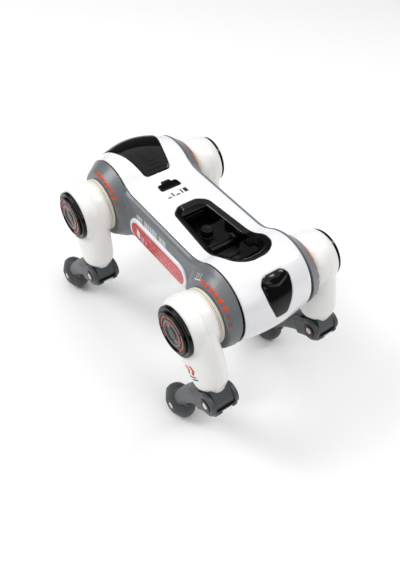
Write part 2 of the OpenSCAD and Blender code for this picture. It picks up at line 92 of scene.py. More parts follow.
def plastic(name, colour, roughness, grainMm, bump, coat=0.0, mottle=0.03, metallic=0.0, shine=0.5):
    # moulded plastic: slight tone drift over the part, fine mould texture, optional clear coat
    mat = bpy.data.materials.new(name)
    mat.use_nodes = True
    tree = mat.node_tree
    shader = tree.nodes["Principled BSDF"]
    place = addNode(tree, "ShaderNodeTexCoord")
    drift = addNode(tree, "ShaderNodeTexNoise", Vector=place.outputs["Object"], Scale=1 / (35 * mm),
                    Detail=2.0, Roughness=0.5)
    base = linearColour(colour)
    low = tuple(c * (1 - mottle) for c in base[:3]) + (1,)
    high = tuple(min(1, c * (1 + mottle)) for c in base[:3]) + (1,)
    tone = addNode(tree, "ShaderNodeMix", {"data_type": "RGBA"}, Factor=drift.outputs["Fac"], i6=low, i7=high)
    tree.links.new(tone.outputs[2], shader.inputs["Base Color"])
    grain = addNode(tree, "ShaderNodeTexNoise", Vector=place.outputs["Object"], Scale=1 / (grainMm * mm),
                    Detail=3.0, Roughness=0.6)
    rough = addNode(tree, "ShaderNodeMapRange", i0=grain.outputs["Fac"], i1=0.3, i2=0.7,
                    i3=roughness * 0.85, i4=roughness * 1.2)
    tree.links.new(rough.outputs[0], shader.inputs["Roughness"])
    relief = addNode(tree, "ShaderNodeBump", Strength=bump, Distance=0.05 * mm, Height=grain.outputs["Fac"])
    tree.links.new(relief.outputs[0], shader.inputs["Normal"])
    shader.inputs["Metallic"].default_value = metallic
    shader.inputs["Specular IOR Level"].default_value = shine
    shader.inputs["Coat Weight"].default_value = coat
    shader.inputs["Coat Roughness"].default_value = 0.04
    return mat


mats = {
    # injection-moulded ABS with a polished, lacquered face: crisp reflections, faint orange peel
    "shellAbs": plastic("shellAbs", "#ebebee", 0.22, 1.6, 0.06, coat=0.35, mottle=0.012),
    # the legs are the same ABS without lacquer, a touch warmer
    "legAbs": plastic("legAbs", "#f0efec", 0.30, 1.2, 0.08, coat=0.1, mottle=0.015),
    # grey ABS with a satin face
    "coverAbs": plastic("coverAbs", "#686d71", 0.34, 0.8, 0.12, coat=0.12, mottle=0.05),
    # painted highlight: the same grey ABS, made paler and cooler on the chamfer where light catches it
    "chamferHighlightAbs": plastic("chamferHighlightAbs", "#8d9199", 0.30, 0.8, 0.10, coat=0.15, mottle=0.04),
    # piano-black ABS: almost mirror smooth
    "pianoAbs": plastic("pianoAbs", "#070809", 0.07, 2.5, 0.02, mottle=0.05, shine=0.22),
    # black ABS with a fine spark-eroded face
    "satinBlackAbs": plastic("satinBlackAbs", "#0b0d0e", 0.30, 0.5, 0.15, mottle=0.06, shine=0.22),
    # unpainted nylon collar
    "collarNylon": plastic("collarNylon", "#e6e2d3", 0.38, 0.9, 0.10, mottle=0.02),
    # glass-filled nylon, slightly blotchy
    "shinNylon": plastic("shinNylon", "#424648", 0.42, 0.6, 0.20, mottle=0.10),
    # moulded rubber, duller than the nylon beside it
    "footRubber": plastic("footRubber", "#33373a", 0.50, 0.5, 0.25, mottle=0.12),
    # pad-printed inks: flat colour, duller than the plastic under them
    "orangeInk": plastic("orangeInk", "#d04a28", 0.45, 0.4, 0.10, mottle=0.10),
    "whiteInk": plastic("whiteInk", "#d5d8da", 0.45, 0.4, 0.10, mottle=0.05),
    # printed polyester film: smooth, with a soft shine, and paler ink on it
    "redFilm": plastic("redFilm", "#c4383c", 0.25, 1.0, 0.04, coat=0.3, mottle=0.05),
    "paleRedInk": plastic("paleRedInk", "#dd7a72", 0.35, 0.5, 0.05, mottle=0.05),
    "blackInk": plastic("blackInk", "#17191a", 0.5, 0.4, 0.10, mottle=0.08),
    # copper-coloured plating, dull and blotchy
    "copperRing": plastic("copperRing", "#9a5142", 0.35, 0.5, 0.10, mottle=0.12, metallic=0.7),
    # turned aluminium and steel: grey, with soft bright edges
    "silverRing": plastic("silverRing", "#626366", 0.28, 0.5, 0.06, mottle=0.06, metallic=0.9),
    "pinSteel": plastic("pinSteel", "#b9b9b6", 0.30, 0.4, 0.08, mottle=0.06, metallic=1.0),
    # etched black ABS, lighter than the polished cap round it
    "capCentre": plastic("capCentre", "#2a2b2c", 0.35, 0.5, 0.10, mottle=0.08),
    # painted buttons: pale and slightly rough
    "hubPaint": plastic("hubPaint", "#cfcfca", 0.30, 0.5, 0.10, mottle=0.06),
    # brass washer seen edge on: a thin warm line
    "goldSeam": plastic("goldSeam", "#b59a55", 0.40, 0.5, 0.10, mottle=0.10, metallic=0.4),
    # thin ink that lets the plastic through: a browner, patchy print
    "fadedInk": plastic("fadedInk", "#8f5246", 0.45, 0.4, 0.10, mottle=0.25),
    "greyInk": plastic("greyInk", "#a9adb2", 0.45, 0.4, 0.10, mottle=0.10),
    # solder resist, shrink film and filled nylon, inside the body
    "boardResin": plastic("boardResin", "#1d5a36", 0.35, 0.8, 0.10, mottle=0.10),
    "batteryWrap": plastic("batteryWrap", "#2c5487", 0.30, 2.0, 0.05, mottle=0.05),
    "servoCase": plastic("servoCase", "#26282a", 0.45, 0.6, 0.15, mottle=0.06),
}
print("materials made:", len(mats))

# sheets that follow a surface


def addCopy(bm, part):
    # moves a finished part into a larger mesh
    keep = bpy.data.meshes.new("part")
    part.to_mesh(keep)
    part.free()
    bm.from_mesh(keep)
    bpy.data.meshes.remove(keep)


def upward(bm):
    if sum(f.normal.z for f in bm.faces) < 0:
        bmesh.ops.reverse_faces(bm, faces=bm.faces[:])
    return bm


def faceOut(bm, side):
    # sheets laid on the left flank come out facing inwards
    if side > 0:
        bmesh.ops.reverse_faces(bm, faces=bm.faces[:])


def softBox(size, soft, segments=3):
    # a box round the origin with bevelled edges
    box = bmesh.new()
    bmesh.ops.create_cube(box, size=1.0)
    bmesh.ops.scale(box, vec=size, verts=box.verts[:])
    bmesh.ops.bevel(box, geom=box.edges[:], offset=soft, segments=segments, profile=0.5, affect="EDGES", material=-1)
    return box


def thicken(bm, wall):
    # a closed plate: the sheet's faces are extruded and moved by the wall vector
    made = bmesh.ops.extrude_face_region(bm, geom=bm.faces[:])["geom"]
    bmesh.ops.translate(bm, vec=wall, verts=[v for v in made if isinstance(v, bmesh.types.BMVert)])


def oblong(u0, u1, v0, v1, corner=0):
    return [(u0, v0, corner), (u1, v0, corner), (u1, v1, corner), (u0, v1, corner)]


def drawOutline(bm, corners, keepFace):
    # corners are (u, v, corner radius), rounded by a vertex bevel that leaves room for the corner beside it
    verts = [bm.verts.new((u, v, 0)) for u, v, _ in corners]
    face = bm.faces.new(verts)
    count = len(corners)
    room = [math.dist(corners[k][:2], corners[(k + 1) % count][:2]) for k in range(count)]
    share = [min(1, 0.97 * room[k] / max(0.001, corners[k][2] + corners[(k + 1) % count][2])) for k in range(count)]
    for k, vert in enumerate(verts):
        if corners[k][2] > 0:
            bmesh.ops.bevel(bm, geom=[vert], offset=corners[k][2] * min(share[k], share[k - 1]), segments=7,
                            profile=0.5, affect="VERTICES", material=-1)
    face = [f for f in bm.faces if f.is_valid][-1]
    edges = list(face.edges)
    if not keepFace:
        bmesh.ops.delete(bm, geom=[face], context="FACES_ONLY")
    return edges


def flatSheet(outline, holes=()):
    # a flat sheet that faces up
    bm = bmesh.new()
    if not holes:
        drawOutline(bm, outline, True)
        return upward(bm)
    for loop in [outline, *holes]:
        part = bmesh.new()
        drawOutline(part, loop, False)
        addCopy(bm, part)
    bmesh.ops.triangle_fill(bm, use_beauty=True, edges=bm.edges[:], normal=(0, 0, 1))
    bmesh.ops.recalc_face_normals(bm, faces=bm.faces[:])
    return upward(bm)


def roundRim(bm, lip):
    # rings are inset flat from the inside out, then sunk towards the rim, which reads as a rounded edge
    sunk = []
    for reach, drop in ((1.0, 0.0), (0.55, 0.15), (0.25, 0.45)):
        ring = insetFaces(bm, bm.faces[:], lip * reach)
        sunk.append(({v for f in ring for v in f.verts if not v.is_boundary}, lip * drop))
    sunk.append(({v for v in bm.verts if v.is_boundary}, lip))
    for verts, drop in sunk:
        for vert in verts:
            vert.co.z -= drop


def insetFaces(bm, faces, thickness, depth=0.0):
    return bmesh.ops.inset_region(bm, faces=faces, thickness=thickness, depth=depth,
                                  use_even_offset=True, use_boundary=True)["faces"]


def sliceSheet(bm, stepU, stepV):
    # cuts the flat sheet into cells, so that it can bend
    for axis, step in ((0, stepU), (1, stepV)):
        if not step:
            continue
        low = min(v.co[axis] for v in bm.verts)
        high = max(v.co[axis] for v in bm.verts)
        count = max(1, round((high - low) / step))
        normal = Vector((1, 0, 0)) if axis == 0 else Vector((0, 1, 0))
        for k in range(1, count):
            at = low + (high - low) * k / count
            bmesh.ops.bisect_plane(bm, geom=bm.verts[:] + bm.edges[:] + bm.faces[:], dist=1e-4,
                                   plane_co=normal * at, plane_no=normal)


def layOn(bm, place):
    for vert in bm.verts:
        vert.co = place(vert.co.x, vert.co.y, vert.co.z) * mm


def makePiece(name, bm, bodyName, materials, nodes=(), sharp=40, wall=0.0, cleanNormals=False):
    if wall:
        bmesh.ops.dissolve_degenerate(bm, edges=bm.edges[:], dist=0.03 * mm)
        bmesh.ops.solidify(bm, geom=bm.verts[:] + bm.edges[:] + bm.faces[:], thickness=wall * mm)
    if cleanNormals:
        bmesh.ops.remove_doubles(bm, verts=bm.verts[:], dist=1e-6)
        bmesh.ops.recalc_face_normals(bm, faces=bm.faces[:])
    mesh = bpy.data.meshes.new(name)
    bm.to_mesh(mesh)
    bm.free()
    mesh.shade_smooth()
    mesh.set_sharp_from_angle(angle=math.radians(sharp))
    for mat in materials:
        mesh.materials.append(mats[mat])
    piece = bpy.data.objects.new(name, mesh)
    bpy.context.scene.collection.objects.link(piece)
    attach(piece, bodyName)
    if nodes:
        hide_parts(*nodes)
    return piece


# body shape

body = {
    # round ends: how far the middle sits in from the hip axis and above it, and the radius
    "front": (0.0, 1.0, 37.5),
    "rear": (3.0, 3.5, 36.0),
    "waistTop": 27.5,  # back above the hip axes
    "waistLow": 18.0,  # belly below the hip axes
    "blendR": 30.0,    # between waist and ends
    "seamY": 33.6,     # white band's half width
    "crown": 0.9,      # how much the band falls towards its edges
    "noseLift": 7.5,   # how much the nose swells in its middle
    "tailLift": 2.6,
    "sideY": 38.0,     # grey wall
    "faceY": 46.0,     # hip dome's outer face
    "faceR": 29.5,
    "seamLow": 12.0,   # belly seam below the hip axes
    "cell": 2.0,
}


def endOf(travel, up):
    # middle of a round end, seen with the outline's upper or lower side up
    inward, raised, radius = body["front"] if travel >= 0 else body["rear"]
    return halfBase - inward, raised * up, radius


def blendOf(level, travel, up):
    centreX, centreZ, radius = endOf(travel, up)
    reach = radius + body["blendR"]
    rise = level - centreZ + body["blendR"]
    return centreX - math.sqrt(reach ** 2 - rise ** 2), math.acos(rise / reach)


def travelAtAngle(level, degrees, side=1, up=1):
    # way along the outline to a polar angle on the round end
    flat, turn = blendOf(level, side, up)
    arc = (math.pi / 2 + turn - math.radians(degrees)) * endOf(side, up)[2]
    return side * (flat + turn * body["blendR"] + arc)


def travelAtX(level, x):
    side = 1 if x >= 0 else -1
    flat, turn = blendOf(level, side, 1)
    centreX, _, radius = endOf(side, 1)
    if abs(x) < flat:
        return x
    if abs(x) < flat + body["blendR"] * math.sin(turn):
        return side * (flat + body["blendR"] * math.asin((abs(x) - flat) / body["blendR"]))
    return travelAtAngle(level, math.degrees(math.acos((abs(x) - centreX) / radius)), side)


def outlinePoint(level, travel, up):
    # point and outward normal on the side outline, measured from the hip axes' middle
    flat, turn = blendOf(level, travel, up)
    centreX, centreZ, radius = endOf(travel, up)
    way = abs(travel)
    if way < flat:
        x, z, nx, nz = way, level, 0.0, 1.0
    elif way < flat + turn * body["blendR"]:
        t = (way - flat) / body["blendR"]
        x = flat + body["blendR"] * math.sin(t)
        z = level + body["blendR"] * (1 - math.cos(t))
        nx, nz = -math.sin(t), math.cos(t)
    else:
        t = (way - flat - turn * body["blendR"]) / radius
        nx, nz = math.cos(math.pi / 2 + turn - t), math.sin(math.pi / 2 + turn - t)
        x, z = centreX + radius * nx, centreZ + radius * nz
    side = 1 if travel >= 0 else -1
    return side * x, z, side * nx, nz


def ease(value, low, high):
    t = min(1.0, max(0.0, (value - low) / (high - low)))
    return t * t * (3 - 2 * t)


def swell(travel, y, up):
    # height of the band over the outline: swollen ends, and a slight fall to the edges
    share = (y / body["seamY"]) ** 2
    side = 1 if travel >= 0 else -1
    level = body["waistTop"] if up > 0 else body["waistLow"]
    full = body["noseLift"] if side > 0 else body["tailLift"]
    begin, end = abs(travelAtAngle(level, 112, side, up)), abs(travelAtAngle(level, 38, side, up))
    lift = full * ease(abs(travel), begin, end)
    return lift * (1 - share) - body["crown"] * share


def onBack(travel, y, height):
    x, z, nx, nz = outlinePoint(body["waistTop"], travel, 1)
    rise = height + swell(travel, y, 1)
    return Vector((midX + x + nx * rise, y, hipZ + z + nz * rise))


def onBelly(travel, y, height):
    x, z, nx, nz = outlinePoint(body["waistLow"], travel, -1)
    rise = height + swell(travel, y, -1)
    return Vector((midX + x + nx * rise, -y, hipZ - z - nz * rise))


def mirrored(points):
    # a half outline given from the +v side, completed on the -v side
    return points + [(u, -v, r) for u, v, r in reversed(points)]


top = body["waistTop"]
noseWindow = mirrored([
    (travelAtAngle(top, 2), 25.5, 8), (travelAtAngle(top, 34), 26.0, 8), (travelAtX(top, 92), 22.5, 8),
    (travelAtX(top, 78), 17.6, 8), (travelAtX(top, 56.5), 12.9, 3.6),
])
tailWindow = mirrored([
    (travelAtX(top, -96.5), 9.0, 3.5), (travelAtX(top, -100.5), 13.2, 4.0), (travelAtAngle(top, 45, -1), 13.4, 5),
    (travelAtAngle(top, 26, -1), 12.0, 5), (travelAtAngle(top, 0, -1), 5.2, 1.8),
])
trayOutline = mirrored([
    (12.5, 9.5, 3.0), (6.0, 17.8, 3.5), (-40.0, 21.6, 8), (travelAtX(top, -61), 23.4, 6),
    (travelAtX(top, -75), 19.6, 5), (travelAtX(top, -82.5), 9.0, 5),
])


def grown(outline, amount):
    # moves each corner outwards along its two sides' normals
    count = len(outline)
    area = sum(outline[k - 1][0] * outline[k][1] - outline[k][0] * outline[k - 1][1] for k in range(count))
    sign = -1 if area > 0 else 1
    result = []
    for i, (u, v, r) in enumerate(outline):
        before = Vector(outline[i - 1][:2]) - Vector((u, v))
        after = Vector(outline[(i + 1) % count][:2]) - Vector((u, v))
        n1 = Vector((before.y, -before.x)).normalized()
        n2 = Vector((-after.y, after.x)).normalized()
        miter = (n1 + n2) / max(0.3, 1 + n1.dot(n2))
        result.append((u + sign * miter.x * amount, v + sign * miter.y * amount, r))
    return result


def seamWay(level, side, up):
    # where the belly seam crosses the outline
    _, centreZ, radius = endOf(side, up)
    seam = -body["seamLow"] * up
    return travelAtAngle(level, math.degrees(math.asin((seam - centreZ) / radius)), side, up)


def bandRim(front, rear):
    half = body["seamY"] - 0.05
    return [(front, -half, 0), (front, half, 0), (rear, half, 0), (rear, -half, 0)]


def topCover():
    gap = 0.22  # between the band and each window
    rim = bandRim(seamWay(top, 1, 1), seamWay(top, -1, 1))
    bm = flatSheet(rim, [grown(outline, gap) for outline in (noseWindow, tailWindow, trayOutline)])
    roundRim(bm, 0.6)
    sliceSheet(bm, body["cell"], body["cell"] * 1.6)
    layOn(bm, onBack)
    return makePiece("topShell", bm, "trunk", ["shellAbs"], ["top_cover"], wall=1.6)


def window(name, outline, heightAt, nodes):
    bm = flatSheet(outline)
    roundRim(bm, 0.8)
    sliceSheet(bm, body["cell"] * 0.6, body["cell"] * 0.6)
    layOn(bm, lambda u, v, h: onBack(u, v, h + heightAt(u, v)))
    return makePiece(name, bm, "trunk", ["pianoAbs"], nodes, wall=1.3)


tailCrest = travelAtAngle(top, 47, -1)


def tailHeight(u, v):
    # an upper facet that climbs to a ridge shaped like a roof, and a lower face that falls away from it
    ridge = tailCrest - 0.30 * (7 - abs(v))
    upper = ease(-u, -(ridge + 14), -ridge)
    lower = 1 - ease(-u, -ridge, -(ridge - 2.4))
    return 0.35 + 2.0 * min(upper, lower) * max(0.0, 1 - (v / 12.5) ** 4)


topCover()
window("noseGlass", noseWindow, lambda u, v: 0.35, ["nose_window"])
window("tailGlass", tailWindow, tailHeight, ["tail_window"])


def noseSensors():
    # stepped trim and a thin bar on the front glass
    bm = bmesh.new()
    for outline, rise in (
        ([(travelAtX(top, 64), -8, 1.5), (travelAtX(top, 64), 5, 1.5), (travelAtX(top, 80), 8, 1.5),
          (travelAtX(top, 80), -5, 1.5)], 0.75),
        ([(travelAtX(top, 67), -4.5, 1.0), (travelAtX(top, 67), 2.5, 1.0), (travelAtX(top, 76), 4.5, 1.0),
          (travelAtX(top, 76), -2.5, 1.0)], 1.15),
        ([(travelAtX(top, 60), -9.5, 0.6), (travelAtX(top, 60), 9.5, 0.6), (travelAtX(top, 61.6), 9.5, 0.6),
          (travelAtX(top, 61.6), -9.5, 0.6)], 0.7),
    ):
        part = flatSheet(outline)
        roundRim(part, 0.35)
        sliceSheet(part, 1.5, 1.5)
        layOn(part, lambda u, v, h: onBack(u, v, h + rise))
        addCopy(bm, part)
    return makePiece("noseSensorTrim", bm, "trunk", ["pianoAbs"], wall=0.8)


noseSensors()
print("white band and windows laid")

# belly: the same band underneath, with the battery door's opening

belly = {
    "door": (-6.0, 44.0, 36.0),     # middle, length and width of the door
    "switch": (24.0, 5.4, 12.0),
    "ribs": (6.0, 2.0, 5),          # first rib's x, pitch and count
    "rib": (0.9, 16.0, 1.0),
    "hatchWall": 1.4,
}


def rectangle(x, length, width, corner, grow=0.0):
    halfL, halfW = length / 2 + grow, width / 2 + grow
    return oblong(x - halfL, x + halfL, -halfW, halfW, corner)


def bellyCover():
    low = body["waistLow"]
    rim = bandRim(seamWay(low, 1, -1) - 0.25, seamWay(low, -1, -1) + 0.25)
    bm = flatSheet(rim, [rectangle(*belly["door"], 2.0, 3.6), rectangle(*belly["switch"], 1.5)])
    roundRim(bm, 0.5)
    sliceSheet(bm, body["cell"], body["cell"] * 1.6)
    layOn(bm, onBelly)
    makePiece("bellyShell", bm, "trunk", ["shellAbs"], ["belly_cover"], wall=1.6)
    door = flatSheet(rectangle(*belly["door"], 1.8, 3.4))
    roundRim(door, 0.6)
    layOn(door, lambda u, v, h: Vector((midX + u, -v, hipZ - low - 1.0 - h)))
    thicken(door, (0, 0, belly["hatchWall"] * mm))
    first, pitch, count = belly["ribs"]
    for k in range(count):
        rib = softBox(belly["rib"], 0.3)
        bmesh.ops.translate(rib, vec=(midX + first + pitch * k, 0, hipZ - low - 1.2), verts=rib.verts[:])
        bmesh.ops.scale(rib, vec=(mm, mm, mm), verts=rib.verts[:])
        addCopy(door, rib)
    makePiece("batteryHatch", door, "trunk", ["shellAbs"], ["battery_door"], cleanNormals=True)


bellyCover()
print("belly laid")

# grey side covers


def smoothMax(a, b, soft):
    lift = max(soft - abs(a - b), 0) / soft
    return max(a, b) + lift * lift * soft / 4


def sideInset(x, z):
    # how far a point lies inside the side outline
    up = 1 if z >= 0 else -1
    centreX, centreZ, radius = endOf(x, 1)
    side = 1 if x >= 0 else -1
    depth = radius - math.hypot(x - side * centreX, z - centreZ)
    for level, upper in ((body["waistTop"], 1), (body["waistLow"], -1)):
        flat, turn = blendOf(level, x, upper)
        height = z * upper
        if abs(x) < flat:
            inside = level - height
        elif abs(x) < flat + body["blendR"] * math.sin(turn):
            inside = math.hypot(abs(x) - flat, height - level - body["blendR"]) - body["blendR"]
        else:
            return depth
        waist = inside if upper > 0 else min(waist, inside)
    return max(depth, waist)


def domeHeight(x, z):
    # an oblique cone from the round end's rim to the hip's round face
    side = 1 if x >= 0 else -1
    centreX, centreZ, radius = endOf(x, 1)
    shrink = body["faceR"] - radius
    reach = Vector((x - side * centreX, z - centreZ))
    lean = Vector((side * (halfBase - centreX), -centreZ))
    a = lean.dot(lean) - shrink ** 2
    b = reach.dot(lean) + radius * shrink
    root = math.sqrt(max(0.0, b * b - a * (reach.dot(reach) - radius ** 2)))
    return body["seamY"] + (body["faceY"] - body["seamY"]) * (b + root) / a


def tuck(z):
    # the waist wall turns inwards towards the belly
    below = max(0.0, -6.0 - z)
    return 13.0 - math.sqrt(max(1.0, 169.0 - below * below))


def wallY(x, z):
    # grey wall: a chamfer up from the seam, a waist plate, and a dome over each hip
    inset = max(0.0, sideInset(x, z))
    plate = min(body["seamY"] + 1.22 * inset, body["sideY"] - tuck(z))
    plate = max(plate, body["seamY"] + min(0.6, inset))
    cone = domeHeight(x, z)
    cone = body["faceY"] - smoothMax(body["faceY"] - cone, 0.0, 1.6)
    return smoothMax(plate, cone, 1.4)


def sideOutline(cut):
    # the outline as (x, z, 0) corners; arcs are stepped finely
    points = []
    for level, up in ((body["waistTop"], 1), (body["waistLow"], -1)):
        front = travelAtAngle(level, math.degrees(math.asin(-endOf(1, up)[1] / endOf(1, up)[2])), 1, up)
        rear = travelAtAngle(level, math.degrees(math.asin(-endOf(-1, up)[1] / endOf(-1, up)[2])), -1, up)
        count = round((front - rear) / 2.0)
        row = []
        for k in range(count + 1):
            x, z, nx, nz = outlinePoint(level, front - (front - rear) * k / count, up)
            row.append((x - nx * cut, up * (z - nz * cut), 0))
        points += row[:-1] if up > 0 else list(reversed(row))[:-1]
    return points


def sideCover(side):
    bm = flatSheet(sideOutline(body["crown"]))
    # faces given index 1 take the chamfer's paler grey, a painted highlight on the same grey ABS
    for reach, index in ((3.8, 0), (3.4, 1), (0.5, 1)):
        for face in insetFaces(bm, bm.faces[:], reach):
            face.material_index = index
    sliceSheet(bm, body["cell"] * 0.6, body["cell"] * 0.6)
    layOn(bm, lambda x, z, h: Vector((midX + x, side * wallY(x, z), hipZ + z)))
    faceOut(bm, side)
    name = "left" if side > 0 else "right"
    return makePiece(name + "SideShell", bm, "trunk", ["coverAbs", "chamferHighlightAbs"],
                     [name + "_side_cover"], wall=1.4, sharp=50)


for side in (1, -1):
    sideCover(side)
print("side covers laid")

# prints and badges on the flanks


def patch(bm, corners, place, cell=1.2, materialIndex=0):
    part = flatSheet([c if len(c) == 3 else (*c, 0) for c in corners])
    sliceSheet(part, cell, cell)
    layOn(part, place)
    for face in part.faces:
        face.material_index = materialIndex
    addCopy(bm, part)


flank = {
    "dashAngles": [71, 83, 94, 104.5, 115.5, 127.5],  # from the nose towards the top, round each hip
    "fadedAngles": [140, 153],
    "frontTurn": 9,  # the front hip's marks stand further round
    "dashR": (28.4, 31.6), "dashHalf": 3.3,
    "bars": [(21.0, 1.5, 7), (-1.0, -11.5, 5)],  # from, to, count
    "blocks": [(33.0, 31.2), (30.4, 27.4), (26.8, 25.0)],
    "ticks": [54, 59, 64],
}


def polarQuad(centreX, angle, half, inner, outer):
    corners = []
    for degrees, radius in ((angle - half, inner), (angle + half, inner), (angle + half, outer), (angle - half, outer)):
        turn = math.radians(degrees)
        corners.append((centreX + radius * math.cos(turn), radius * math.sin(turn), 0.5))
    return corners


def flankPrints(side):
    name = "left" if side > 0 else "right"

    def raised(x, z, h):
        return Vector((midX + x, side * (wallY(x, z) + 0.10), hipZ + z))

    bm = bmesh.new()
    inner, outer = flank["dashR"]
    for centre, turn in ((halfBase, flank["frontTurn"]), (-halfBase, 0)):
        for angle in flank["dashAngles"]:
            patch(bm, polarQuad(centre, angle + turn, flank["dashHalf"], inner, outer), raised, 1.0)
        for angle in flank["fadedAngles"]:
            patch(bm, polarQuad(centre, angle + turn, 3.4, inner + 0.9, outer - 0.9), raised, 1.0, 1)
    faceOut(bm, side)
    makePiece(name + "DomeDashes", bm, "trunk", ["orangeInk", "fadedInk"], sharp=60)
    bm = bmesh.new()
    for start, end, count in flank["bars"]:
        pitch = (start - end) / count
        for k in range(count):
            x = start - pitch * k
            patch(bm, oblong(x, x - pitch * 0.62, 10.5, 18.5), raised, 3)
    for start, end in flank["blocks"]:
        patch(bm, oblong(start, end, 14.0, 17.4), raised, 3)
        patch(bm, oblong(start - 0.6, end - 0.4, 10.9, 12.8), raised, 3)
    for angle in flank["ticks"]:
        patch(bm, polarQuad(-halfBase, angle, 0.5, 31.0, 34.0), raised, 2)
    patch(bm, polarQuad(-halfBase, flank["ticks"][1], 8.5, 30.3, 30.9), raised, 1)
    faceOut(bm, side)
    makePiece(name + "FlankMarks", bm, "trunk", ["whiteInk"], sharp=60)


badge = {
    "x": 0.6, "z": -1.6, "length": 86.5, "height": 26.0, "frame": 3.6, "proud": 1.5, "wall": 1.2,
    "rows": [(13.0, -32.0), (11.0, -26.0), (12.0, -30.0)],  # plain dashes, from and to
    "dashes": (3.4, 2.2, 4.6, 1.6),
}


def capsule(shrink):
    half, radius = badge["length"] / 2 - shrink, badge["height"] / 2 - shrink
    x, z = badge["x"], badge["z"]
    return oblong(x - half, x + half, z - radius, z + radius, radius * 0.995)


def badgePlate(side):
    name = "left" if side > 0 else "right"

    def lifted(proud):
        def place(x, z, h):
            return Vector((midX + x, side * (body["sideY"] - tuck(z) + proud + h), hipZ + z))
        return place

    bm = flatSheet(capsule(0))
    roundRim(bm, 0.9)
    sliceSheet(bm, 2.5, 1.5)
    layOn(bm, lifted(badge["proud"]))
    faceOut(bm, side)
    thicken(bm, (0, -side * badge["wall"] * mm, 0))
    makePiece(name + "BadgeFrame", bm, "trunk", ["shellAbs"], [name + "_badge"], cleanNormals=True)
    bm = bmesh.new()
    patch(bm, capsule(badge["frame"]), lifted(badge["proud"] + 0.08), 2.0)
    faceOut(bm, side)
    makePiece(name + "BadgeFilm", bm, "trunk", ["redFilm"], sharp=60)
    bm = bmesh.new()
    place = lifted(badge["proud"] + 0.16)
    z = badge["z"]
    patch(bm, [(31.5, z - 3.0), (26.5, z - 5.0), (26.5, z + 2.5), (31.5, z + 4.5)], place, 3)
    patch(bm, oblong(24.5, 20.5, z - 5.5, z + 0.5), place, 3, 1)
    patch(bm, oblong(18.8, 15.5, z - 4.8, z + 0.2), place, 3, 2)
    for row, (start, end) in enumerate(badge["rows"]):
        level = z + 3.6 - row * 3.6
        x, k = start, 0
        while x > end:
            length = badge["dashes"][(k + row) % 4]
            patch(bm, oblong(x, x - length, level, level + 1.7), place, 3, 2)
            x -= length + 1.0
            k += 1
    faceOut(bm, side)
    makePiece(name + "BadgePrint", bm, "trunk", ["whiteInk", "greyInk", "paleRedInk"], sharp=60)


for side in (1, -1):
    flankPrints(side)
    badgePlate(side)
print("flank prints and badges laid")

# accessory tray

tray = {
    "floor": 11.5,      # above the hip axes
    "ledge": 4.6,       # sloped bezel
    "ledgeDrop": 1.7,
    "slopeFrom": -57.0,  # where the rear wall begins to climb
    "stud": (-17.0, 5.0, 8.0),
    "latch": (-35.5, 5.0, 4.0),
}


def trayBottom(x):
    return tray["floor"] + max(0.0, tray["slopeFrom"] - x) * 1.15


def trayTub():
    bm = flatSheet(trayOutline)
    roundRim(bm, 0.8)
    for thickness, depth in ((0.8, 0.0), (tray["ledge"] - 1.4, -tray["ledgeDrop"]), (0.5, -0.35), (0.35, -50.0)):
        insetFaces(bm, [f for f in bm.faces if f.calc_area() > 500], thickness, depth)
    sliceSheet(bm, body["cell"], body["cell"])

    def place(u, v, h):
        if h < -4:
            rim = onBack(u, v, -2.5)
            x = rim.x - midX
            share = min(1.0, max(0.0, (-h - 2.5) / 49.0))
            return Vector((rim.x, v, rim.z + (min(rim.z, hipZ + trayBottom(x)) - rim.z) * share))
        return onBack(u, v, h + 0.15)

    layOn(bm, place)
    makePiece("trayTub", bm, "trunk", ["pianoAbs"], ["accessory_tray"], wall=1.0, sharp=35)


def trayFittings():
    x, radius, height = tray["stud"]
    bm = bmesh.new()
    turnProfile(bm, [(0, 0, 0), (radius + 0.8, 0, 0.3), (radius + 0.8, 0.8, 0.3), (radius, 1.0, 0),
                     (radius, height, 0.5), (radius - 1.4, height, 0.2), (radius - 1.6, height - 0.6, 0.2),
                     (0, height - 0.6, 0)], steps=64)
    for k in range(12):
        rib = softBox((0.5, height - 2.4, 0.9), 0.12, 2)
        bmesh.ops.translate(rib, vec=(radius + 0.05, height / 2, 0), verts=rib.verts[:])
        bmesh.ops.rotate(rib, cent=(0, 0, 0), matrix=Matrix.Rotation(k * math.pi / 6, 3, "Y"), verts=rib.verts[:])
        addCopy(bm, rib)
    place = (Matrix.Scale(mm, 4) @ Matrix.Translation((midX + x, 0, hipZ + tray["floor"]))
             @ Matrix.Rotation(math.pi / 2, 4, "X"))
    bmesh.ops.transform(bm, matrix=place, verts=bm.verts[:])
    bmesh.ops.recalc_face_normals(bm, faces=bm.faces[:])
    makePiece("trayStud", bm, "trunk", ["satinBlackAbs"], ["accessory_stud"])
    x, depth, height = tray["latch"]
    bm = bmesh.new()
    for size, at in (
        ((depth, 29.0, height), (x, 0, height / 2)),
        ((1.2, 26.0, 1.0), (x + depth / 2 - 0.8, 0, height + 0.4)),
        ((depth + 1.5, 3.0, height + 4.5), (x, 13.4, (height + 4.5) / 2)),
        ((depth + 1.5, 3.0, height + 4.5), (x, -13.4, (height + 4.5) / 2)),
        ((9.0, 22.0, 1.0), (x - 9.5, 0, 0.5)),
        ((6.0, 27.0, 1.6), (4.6, 0, 13.0)),
        ((1.0, 16.0, 0.8), (4.6, 0, 14.1)),
        ((1.0, 20.0, 6.0), (1.1, 0, 8.0)),
    ):
        block = softBox(size, min(size) * 0.28)
        bmesh.ops.translate(block, vec=(midX + at[0], at[1], hipZ + tray["floor"] + at[2]), verts=block.verts[:])
        addCopy(bm, block)
    bmesh.ops.scale(bm, vec=(mm, mm, mm), verts=bm.verts[:])
    makePiece("trayLatch", bm, "trunk", ["satinBlackAbs"], ["tray_latch"])


